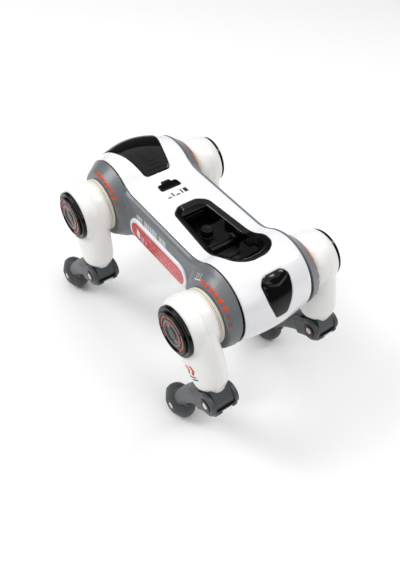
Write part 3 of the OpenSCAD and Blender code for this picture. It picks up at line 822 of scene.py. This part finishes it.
marks = {
    "pad": [(47.0, -4.6, 1.6), (47.0, 4.6, 1.6), (44.0, 5.0, 0.5), (44.0, 10.0, 2.4), (35.0, 10.8, 2.4),
            (35.0, -10.8, 2.4), (44.0, -10.0, 2.4), (44.0, -5.0, 0.5)],
    # y, width and length of each plain mark
    "prints": [(-10.5, 3.6, 5.4), (-5.2, 1.4, 5.4), (-1.8, 3.8, 1.4), (3.8, 1.4, 5.4), (7.0, 3.6, 1.4)],
    "printsX": 24.5,
}


def backMarks():
    # touch pad with a small tab, and plain marks beside it
    bm = bmesh.new()
    part = flatSheet(marks["pad"])
    roundRim(part, 0.4)
    sliceSheet(part, 2.0, 2.0)
    layOn(part, lambda u, v, h: onBack(u, v, h + 0.45))
    addCopy(bm, part)
    makePiece("touchPad", bm, "trunk", ["pianoAbs"], ["touch_pad"], wall=0.9)
    bm = bmesh.new()
    x = marks["printsX"]
    for y, width, length in marks["prints"]:
        patch(bm, oblong(x, x + length, y, y + width, 0.4), lambda u, v, h: onBack(u, v, 0.06), 2)
    makePiece("backMarks", bm, "trunk", ["blackInk"], sharp=60)


# shapes that are turned or lofted


def turnProfile(bm, profile, steps=96, angle=360.0):
    # profile is (radius, y, corner radius), turned about the Y axis
    verts = [bm.verts.new((radius, y, 0)) for radius, y, _ in profile]
    edges = [bm.edges.new(pair) for pair in zip(verts, verts[1:])]
    for vert, corner in zip(verts, profile):
        if corner[2] > 0:
            made = bmesh.ops.bevel(bm, geom=[vert], offset=corner[2], segments=4, profile=0.5,
                                   affect="VERTICES", material=-1)
            edges = [e for e in edges if e.is_valid] + [e for e in made["edges"] if e.is_valid]
    seen = {v for e in edges for v in e.verts}
    edges = list({e for v in seen for e in v.link_edges})
    full = angle >= 360
    bmesh.ops.spin(bm, geom=list(seen) + edges, cent=(0, 0, 0), axis=(0, 1, 0), angle=math.radians(angle),
                   steps=steps, use_merge=full)
    bmesh.ops.remove_doubles(bm, verts=bm.verts[:], dist=1e-4)


def ovalRing(bm, place, halfX, halfY, squareness):
    made = bmesh.ops.create_circle(bm, cap_ends=False, radius=1.0, segments=48)["verts"]
    for vert in made:
        x, y = vert.co.x, vert.co.y
        vert.co = place @ Vector((math.copysign(abs(x) ** (2 / squareness), x) * halfX,
                                  math.copysign(abs(y) ** (2 / squareness), y) * halfY, 0))
    return list({e for v in made for e in v.link_edges})


def loft(bm, rings):
    loops = [ovalRing(bm, *ring) for ring in rings]
    for before, after in zip(loops, loops[1:]):
        bmesh.ops.bridge_loops(bm, edges=before + after)
    for loop in (loops[0], loops[-1]):
        bmesh.ops.edgeloop_fill(bm, edges=loop)


def melt(bm, voxel, rounds):
    # fuses overlapping solids into one skin with soft inner corners
    bmesh.ops.recalc_face_normals(bm, faces=bm.faces[:])
    mesh = bpy.data.meshes.new("meltSource")
    bm.to_mesh(mesh)
    bm.free()
    source = bpy.data.objects.new("meltSource", mesh)
    bpy.context.scene.collection.objects.link(source)
    remesh = source.modifiers.new("remesh", "REMESH")
    remesh.mode = "VOXEL"
    remesh.voxel_size = voxel * 1.0
    smooth = source.modifiers.new("smooth", "SMOOTH")
    smooth.factor = 0.5
    smooth.iterations = rounds
    bpy.context.view_layer.update()
    result = bpy.data.meshes.new_from_object(source.evaluated_get(bpy.context.evaluated_depsgraph_get()))
    bpy.data.objects.remove(source)
    return result


def meltedCopy(mesh):
    bm = bmesh.new()
    bm.from_mesh(mesh)
    return bm


def legFrame(leg):
    # leg coordinates: X forward, Y outwards, Z up along the thigh from the hip axis
    hipAt, kneeAt = hipOf(leg), kneeOf(leg)
    tilt = math.atan2(hipAt.x - kneeAt.x, hipAt.z - kneeAt.z)
    side = 1 if leg.endswith("left") else -1
    return (Matrix.Scale(mm, 4) @ Matrix.Translation((hipAt.x, 0, hipAt.z))
            @ Matrix.Diagonal((1, side, 1, 1)) @ Matrix.Rotation(tilt, 4, "Y"))


def shinFrame(leg):
    # shin coordinates: Z up along the shin from the knee axis
    kneeAt = kneeOf(leg)
    low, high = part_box(leg + "_foot")
    footAt = (low + high) / 2 / mm
    lean = math.atan2(footAt.x - kneeAt.x, kneeAt.z - footAt.z)
    side = 1 if leg.endswith("left") else -1
    return (Matrix.Scale(mm, 4) @ Matrix.Translation((kneeAt.x, 0, kneeAt.z))
            @ Matrix.Diagonal((1, side, 1, 1)) @ Matrix.Rotation(-lean, 4, "Y"))


def legPiece(leg, name, bm, bodyName, materials, nodes, place, sharp=40):
    bmesh.ops.transform(bm, matrix=place, verts=bm.verts[:])
    bmesh.ops.recalc_face_normals(bm, faces=bm.faces[:])
    full = [leg + "_" + n for n in nodes]
    return makePiece(leg + "_" + name, bm, leg + bodyName, materials, full, sharp)


def colourByRadius(bm, bands):
    # bands are (outer radius, material index), inside first
    for face in bm.faces:
        spot = face.calc_center_median()
        radius = math.hypot(spot.x, spot.z)
        for outer, index in bands:
            if radius < outer:
                face.material_index = index
                break


hip = {
    "mid": 62.3,  # Y of the leg's middle
    "collar": [(0, 36, 0), (8, 36, 0.3), (8, 46.3, 0.2), (24.0, 46.3, 0.8), (24.2, 49.0, 0.3), (23.7, 49.2, 0),
               (23.7, 49.6, 0), (24.0, 49.7, 0), (23.9, 50.3, 0.2), (12, 50.3, 0), (12, 53, 0), (0, 53, 0)],
    "cap": [(0, 74.5, 0), (22.2, 74.5, 0), (22.2, 77.3, 0.9), (20.4, 77.9, 0.4), (18.7, 77.4, 0.2), (18.3, 76.9, 0.2),
            (18.0, 77.0, 0.2), (17.9, 79.5, 0.6), (16.2, 79.8, 0.3), (15.6, 79.2, 0.2), (15.5, 78.6, 0),
            (0, 78.6, 0)],
    "capFace": [(0, 78.5, 0), (13.2, 78.5, 0), (13.2, 79.0, 0.2), (11.8, 79.0, 0.2), (11.5, 79.45, 0.2),
                (9.4, 79.45, 0.2), (9.1, 78.9, 0.2), (8.8, 79.1, 0.1), (8.3, 79.1, 0.1), (8.1, 78.8, 0.1),
                (4.9, 78.8, 0.1), (4.6, 79.2, 0.2), (0, 79.35, 0)],
    "ring": (13.4, 15.3, 78.6, 79.3),  # inner and outer radius, low and high Y
    "ringArcs": [(112, 66), (184, 78), (268, 76), (350, 26)],  # start and sweep
    "marks": [(5.4, 8.0, 78.75, 79.0, 264, 36), (5.4, 8.0, 78.75, 79.0, 84, 36), (13.0, 15.4, 78.6, 79.5, 98, 12)],
}


def arcBlock(inner, outer, low, high, sweep, steps, soft=0):
    # a block turned through part of a circle and closed at both ends
    part = bmesh.new()
    rim = [(outer, low, 0), (outer, high, soft), (inner, high, soft), (inner, low, 0), (outer, low, 0)]
    turnProfile(part, rim, steps=steps, angle=sweep)
    bmesh.ops.holes_fill(part, edges=[e for e in part.edges if e.is_boundary])
    return part


def spinY(part, degrees):
    turn = Matrix.Rotation(math.radians(degrees), 3, "Y")
    bmesh.ops.rotate(part, cent=(0, 0, 0), matrix=turn, verts=part.verts[:])


def capArc(bm, inner, outer, low, high, start, sweep):
    part = arcBlock(inner, outer, low, high, sweep, max(4, round(sweep / 4)), 0.15)
    spinY(part, start)
    bmesh.ops.recalc_face_normals(part, faces=part.faces[:])
    addCopy(bm, part)


def collar(leg):
    bm = bmesh.new()
    turnProfile(bm, hip["collar"])
    for face in bm.faces:
        spot = face.calc_center_median()
        face.material_index = 1 if 49.1 < spot.y < 49.7 and math.hypot(spot.x, spot.z) > 23 else 0
    legPiece(leg, "hipCollar", bm, "_thigh_body", ["collarNylon", "goldSeam"], ["hip_hub"],
             legFrame(leg))


def hipCap(leg):
    bm = bmesh.new()
    turnProfile(bm, hip["cap"], steps=128)
    legPiece(leg, "hipCapBody", bm, "_thigh_body", ["pianoAbs"], ["hip_cap"], legFrame(leg), sharp=50)
    bm = bmesh.new()
    turnProfile(bm, hip["capFace"], steps=96)
    colourByRadius(bm, [(4.75, 0), (8.2, 1), (8.95, 2), (9.3, 1), (11.6, 2), (14, 1)])
    legPiece(leg, "hipCapFace", bm, "_thigh_body", ["capCentre", "satinBlackAbs", "silverRing"], [],
             legFrame(leg))
    bm = bmesh.new()
    for start, sweep in hip["ringArcs"]:
        capArc(bm, *hip["ring"], start, sweep)
    legPiece(leg, "hipCapRing", bm, "_thigh_body", ["copperRing"], ["hip_ring"], legFrame(leg))
    bm = bmesh.new()
    for arc in hip["marks"]:
        capArc(bm, *arc)
    legPiece(leg, "hipCapMarks", bm, "_thigh_body", ["orangeInk"], [], legFrame(leg))


thigh = {
    "barrel": [(0, 50.2, 0), (23.2, 50.1, 0), (24.0, 50.8, 0), (25.0, 53.6, 0), (25.9, 57.5, 0), (26.2, 62.0, 0),
               (25.8, 66.0, 0), (24.9, 70.0, 0), (23.8, 73.0, 0), (22.4, 74.5, 0), (0, 74.6, 0)],
    # z below the hip axis, half depth, half width, squareness
    "column": [(2, 25.5, 12.4, 2.2), (-8, 25.4, 13.0, 2.2), (-16, 24.8, 13.5, 2.2), (-23, 23.9, 13.8, 2.15),
               (-30, 22.6, 13.9, 2.1), (-37, 21.0, 13.9, 2.0), (-43, 19.2, 13.8, 2.0), (-48, 16.8, 13.5, 2.0),
               (-51, 14.9, 12.6, 2.0), (-53.3, 13.0, 10.8, 2.0), (-55, 11.4, 8.6, 2.0), (-57, 9.6, 8.0, 2.0),
               (-59, 7.2, 6.8, 2.0), (-60.2, 4.6, 4.6, 2.0)],
    "voxel": 0.8,
    "smoothing": 8,
}


def thighMesh():
    bm = bmesh.new()
    turnProfile(bm, thigh["barrel"])
    loft(bm, [(Matrix.Translation((0, hip["mid"], z)), deep, wide, square)
              for z, deep, wide, square in thigh["column"]])
    return melt(bm, thigh["voxel"], thigh["smoothing"])


def thighHalves(leg, mesh):
    for name, sign in (("Inner", 1), ("Outer", -1)):
        bm = meltedCopy(mesh)
        cut = bmesh.ops.bisect_plane(bm, geom=bm.verts[:] + bm.edges[:] + bm.faces[:], dist=1e-4,
                                     plane_co=(0, hip["mid"] - sign * 0.06, 0), plane_no=(0, sign, 0),
                                     clear_outer=True)
        bmesh.ops.holes_fill(bm, edges=[e for e in bm.edges if e.is_boundary])
        legPiece(leg, "thighShell" + name, bm, "_thigh_body", ["legAbs"], ["thigh_" + name.lower()],
                 legFrame(leg), sharp=55)


knee = {
    "earIn": 8.85, "earOut": 13.25, "earR": 9.9,
    # z along the shin, half depth, half width, squareness
    "beam": [(-7, 7.6, 12.6, 3.2), (-13, 8.2, 12.7, 3.2), (-22, 8.6, 12.3, 3.0), (-32, 8.6, 11.4, 2.8),
             (-44, 8.2, 10.2, 2.7), (-56, 7.8, 9.2, 2.6), (-68, 7.4, 8.6, 2.6), (-76, 7.0, 8.0, 2.6)],
    "bow": 7.0, "length": 87.8,
    "arm": [(0, 9.4), (-6, 9.0), (-12, 8.4), (-20, 8.2)],  # z and half depth
    "ankle": [(-66, 6.4), (-80, 6.2), (-92, 5.6)],
    "web": (9.6, 11.6, 10.4, 110, 104),  # inner and outer radius, half width, start and sweep
    # low and high Y, outer radius and material of the white plate and the dark slots beside it
    "plates": [(-4.9, 4.9, 12.1, 0), (5.4, 8.3, 11.75, 1), (-8.3, -5.4, 11.75, 1)],
    "plateTurn": 187,
    "voxel": 0.62, "smoothing": 5,
}


def bowX(z):
    # how far the shin's middle stands forward of the line from knee to foot
    half = knee["length"] / 2
    radius = (half ** 2 + knee["bow"] ** 2) / (2 * knee["bow"])
    return math.sqrt(radius ** 2 - (z + half) ** 2) - radius + knee["bow"]


def disc(bm, radius, y0, y1, soft):
    part = bmesh.new()
    turnProfile(part, [(0, y0, 0), (radius, y0, soft), (radius, y1, soft), (0, y1, 0)], steps=64)
    addCopy(bm, part)


def webBlock(bm, inner, outer, half, start, sweep):
    # part of a ring round the knee axis
    part = arcBlock(inner, outer, -half, half, sweep, max(4, round(sweep / 4)))
    spinY(part, start)
    bmesh.ops.translate(part, vec=(0, hip["mid"], 0), verts=part.verts[:])
    bmesh.ops.recalc_face_normals(part, faces=part.faces[:])
    addCopy(bm, part)


def shinMesh():
    bm = bmesh.new()
    mid = hip["mid"]
    for side in (-1, 1):
        low, high = sorted((mid + side * knee["earIn"], mid + side * knee["earOut"]))
        disc(bm, knee["earR"], low, high, 0.9)
        # arm from the ear into the beam
        loft(bm, [(Matrix.Translation((bowX(z), mid + side * (knee["earIn"] + knee["earOut"]) / 2, z)), half, 2.2, 5.0)
                  for z, half in knee["arm"]])
    loft(bm, [(Matrix.Translation((bowX(z), mid, z)), deep, wide, square)
              for z, deep, wide, square in knee["beam"] if z < -12])
    # web behind the knee, from ear to ear
    webBlock(bm, *knee["web"])
    loft(bm, [(Matrix.Translation((0, mid, z)), half, 4.4, 3.0) for z, half in knee["ankle"]])
    return melt(bm, knee["voxel"], knee["smoothing"])


def shinPiece(leg, mesh):
    bm = meltedCopy(mesh)
    legPiece(leg, "shinFork", bm, "_shin_body", ["shinNylon"], ["shin"], shinFrame(leg), sharp=60)


foot = {
    "profile": [(0, -10.5, 0), (6.5, -10.5, 0.6), (11.5, -9.6, 2), (15.4, -6.6, 3), (17, -2.4, 3), (17, 1.6, 3),
                (16.0, 4.6, 2.0), (12.6, 7.4, 2.0), (8.4, 10.2, 0.6), (7.3, 10.4, 0.2), (7.0, 9.7, 0.2), (0, 9.6, 0)],
    "hub": [(0, 9.5, 0), (6.6, 9.5, 0), (6.6, 10.1, 0.3), (5.0, 10.3, 0.2), (4.8, 9.9, 0.1), (3.3, 9.9, 0.1),
            (3.0, 10.5, 0.3), (0, 10.6, 0)],
}


def footPiece(leg):
    place = shinFrame(leg) @ Matrix.Translation((0, hip["mid"], -knee["length"]))
    bm = bmesh.new()
    turnProfile(bm, foot["profile"], steps=96)
    legPiece(leg, "footDrum", bm, "_shin_body", ["footRubber"], ["foot"], place, sharp=45)
    bm = bmesh.new()
    turnProfile(bm, foot["hub"], steps=48)
    colourByRadius(bm, [(3.1, 0), (4.9, 1), (5.3, 2), (7, 1)])
    legPiece(leg, "footHub", bm, "_shin_body", ["hubPaint", "satinBlackAbs", "copperRing"], [], place)


pin = {
    "half": [(0, 0, 0), (3.0, 0, 0), (3.0, 13.2, 0), (6.2, 13.2, 0), (6.2, 13.9, 0.3), (4.7, 14.1, 0.2),
             (4.5, 13.8, 0.1), (3.1, 13.8, 0.1), (2.8, 14.2, 0.3), (0, 14.25, 0)],
}


def kneePin(leg):
    bm = bmesh.new()
    for side in (1, -1):
        part = bmesh.new()
        turnProfile(part, pin["half"], steps=48)
        colourByRadius(part, [(2.95, 0), (4.6, 1), (5.2, 2), (7, 1)])
        bmesh.ops.scale(part, vec=(1, side, 1), verts=part.verts[:])
        addCopy(bm, part)
    bmesh.ops.remove_doubles(bm, verts=bm.verts[:], dist=1e-4)
    place = shinFrame(leg) @ Matrix.Translation((0, hip["mid"], 0))
    legPiece(leg, "kneeHub", bm, "_shin_body", ["hubPaint", "satinBlackAbs", "copperRing"], ["knee_pin"],
             place)


def labelPlate(leg):
    # white plate on the web, between two dark slots
    place = shinFrame(leg) @ Matrix.Translation((0, hip["mid"], 0))
    bm = bmesh.new()
    for y0, y1, outer, index in knee["plates"]:
        part = arcBlock(11.0, outer, y0, y1, 27, 12)
        bmesh.ops.bevel(part, geom=[e for e in part.edges if e.calc_face_angle(0) > 0.8], offset=0.25, segments=2,
                        profile=0.5, affect="EDGES", material=-1)
        for face in part.faces:
            face.material_index = index
        spinY(part, knee["plateTurn"])
        addCopy(bm, part)
    legPiece(leg, "webPlate", bm, "_shin_body", ["shellAbs", "satinBlackAbs"], [], place)


def thighPrint(leg, mesh):
    # two chevrons and two bars printed on the outer face, laid on the shell by casting rays
    tree = BVHTree.FromPolygons([v.co.copy() for v in mesh.vertices], [tuple(p.vertices) for p in mesh.polygons])

    def onShell(x, z, h):
        hit = tree.ray_cast(Vector((x, 100, z)), Vector((0, -1, 0)))[0]
        return (hit or Vector((x, 74, z))) + Vector((0, 0.1, 0))

    bm = bmesh.new()
    for x in (7.5, 0.7):
        patch(bm, [(x, -29.5), (x - 3.6, -29.5), (x - 6.6, -33.5), (x - 3.0, -33.5)], onShell, 1.0)
        patch(bm, [(x - 3.0, -33.5), (x - 6.6, -33.5), (x - 3.6, -37.5), (x, -37.5)], onShell, 1.0)
    patch(bm, oblong(6.0, -4.5, -38.8, -39.8), onShell, 1.0, 1)
    patch(bm, oblong(2.0, -5.5, -41.0, -42.3), onShell, 1.0, 1)
    # patch gives metres, and the leg's frame starts from millimetres
    bmesh.ops.scale(bm, vec=(1 / mm, 1 / mm, 1 / mm), verts=bm.verts[:])
    legPiece(leg, "thighPrint", bm, "_thigh_body", ["orangeInk", "blackInk"], [], legFrame(leg), sharp=60)


trayTub()
trayFittings()
backMarks()
print("tray and back marks made")

thighShape = thighMesh()
shinShape = shinMesh()
for legName in legNames:
    collar(legName)
    hipCap(legName)
    thighHalves(legName, thighShape)
    shinPiece(legName, shinShape)
    footPiece(legName)
    kneePin(legName)
    labelPlate(legName)
for legName in ("rear_left", "rear_right"):
    thighPrint(legName, thighShape)
print("legs made, thigh faces:", len(thighShape.polygons), "shin faces:", len(shinShape.polygons))

# carried CAD nodes

carried = {
    "belly_cover": "shellAbs", "battery_door": "shellAbs", "door_screws": "pinSteel",
    "accessory_tray": "pianoAbs", "accessory_stud": "satinBlackAbs", "tray_latch": "satinBlackAbs",
    "touch_pad": "pianoAbs", "left_badge": "shellAbs", "right_badge": "shellAbs",
    "power_switch": "satinBlackAbs", "battery_pack": "batteryWrap", "main_board": "boardResin",
    "speaker": "servoCase", "sensor_board": "boardResin", "hip_motors": "servoCase",
    "hip_hub": "collarNylon", "thigh_inner": "legAbs", "thigh_outer": "legAbs", "hip_cap": "pianoAbs",
    "hip_ring": "copperRing", "knee_motor": "servoCase", "knee_bracket": "shinNylon", "knee_pin": "pinSteel",
    "shin": "shinNylon", "foot": "footRubber",
}
for nodeName, node in frame["nodes"].items():
    for ending, mat in carried.items():
        if nodeName == ending or nodeName.split("_", 2)[-1] == ending:
            node.data.materials.clear()
            node.data.materials.append(mats[mat])
print("CAD nodes finished")

# stage, camera and light

view = {
    "azimuth": 141.8,   # degrees from +X towards +Y, from the target to the camera
    "elevation": 47.4,
    "roll": 2.8,
    "distance": 523.4,  # mm
    "target": (-51.6, 32.0, 0.0),  # mm from the hip axes' middle
    "lens": 40.74,
}


def cameraAxes():
    az, el, roll = (math.radians(view[k]) for k in ("azimuth", "elevation", "roll"))
    back = Vector((math.cos(el) * math.cos(az), math.cos(el) * math.sin(az), math.sin(el)))
    right = (-back).cross(Vector((0, 0, 1))).normalized()
    up = right.cross(-back)
    across = math.cos(roll) * right + math.sin(roll) * up
    above = -math.sin(roll) * right + math.cos(roll) * up
    return across, above, back


def setCamera():
    across, above, back = cameraAxes()
    spot = (Vector(view["target"]) + Vector((midX, 0, hipZ)) + back * view["distance"]) * mm
    data = bpy.data.cameras.new("camera")
    data.lens = view["lens"]
    data.sensor_width = 36
    data.clip_start = 0.01
    camera = bpy.data.objects.new("camera", data)
    camera.matrix_world = Matrix((
        (across.x, above.x, back.x, spot.x),
        (across.y, above.y, back.y, spot.y),
        (across.z, above.z, back.z, spot.z),
        (0, 0, 0, 1),
    ))
    bpy.context.scene.collection.objects.link(camera)
    bpy.context.scene.camera = camera


def setFloor():
    bm = bmesh.new()
    bmesh.ops.create_grid(bm, x_segments=2, y_segments=2, size=6.0)
    mesh = bpy.data.meshes.new("floor")
    bm.to_mesh(mesh)
    bm.free()
    mat = bpy.data.materials.new("floorPaper")
    mat.use_nodes = True
    shader = mat.node_tree.nodes["Principled BSDF"]
    shader.inputs["Base Color"].default_value = linearColour("#fcfcfc")
    shader.inputs["Roughness"].default_value = 0.7
    mesh.materials.append(mat)
    floor = bpy.data.objects.new("floor", mesh)
    bpy.context.scene.collection.objects.link(floor)


lights = {
    "overhead": {"at": (0.15, 0.1, 1.9), "size": (3.4, 3.4), "watts": 42},
    "keyBox": {"at": (0.75, 0.95, 1.25), "size": (0.7, 0.7), "watts": 12},
    "glintBox": {"at": (-0.30, -0.80, 1.05), "size": (0.16, 0.45), "watts": 3},
    "rearBox": {"at": (-1.1, -0.1, 0.9), "size": (0.5, 0.9), "watts": 3},
}
lightAim = (0, 0, 0.08)
skyStrength = 0.14


def setLights():
    for name, light in lights.items():
        data = bpy.data.lights.new(name, "AREA")
        data.shape = "RECTANGLE"
        data.size, data.size_y = light["size"]
        data.energy = light["watts"]
        lamp = bpy.data.objects.new(name, data)
        lamp.location = light["at"]
        lamp.rotation_euler = (Vector(lightAim) - Vector(light["at"])).to_track_quat("-Z", "Y").to_euler()
        bpy.context.scene.collection.objects.link(lamp)
    world = bpy.data.worlds.new("studio")
    world.use_nodes = True
    world.node_tree.nodes["Background"].inputs["Color"].default_value = (1, 1, 1, 1)
    world.node_tree.nodes["Background"].inputs["Strength"].default_value = skyStrength
    bpy.context.scene.world = world


setCamera()
setFloor()
setLights()
bpy.context.scene.view_settings.view_transform = "Standard"
print("stage set")
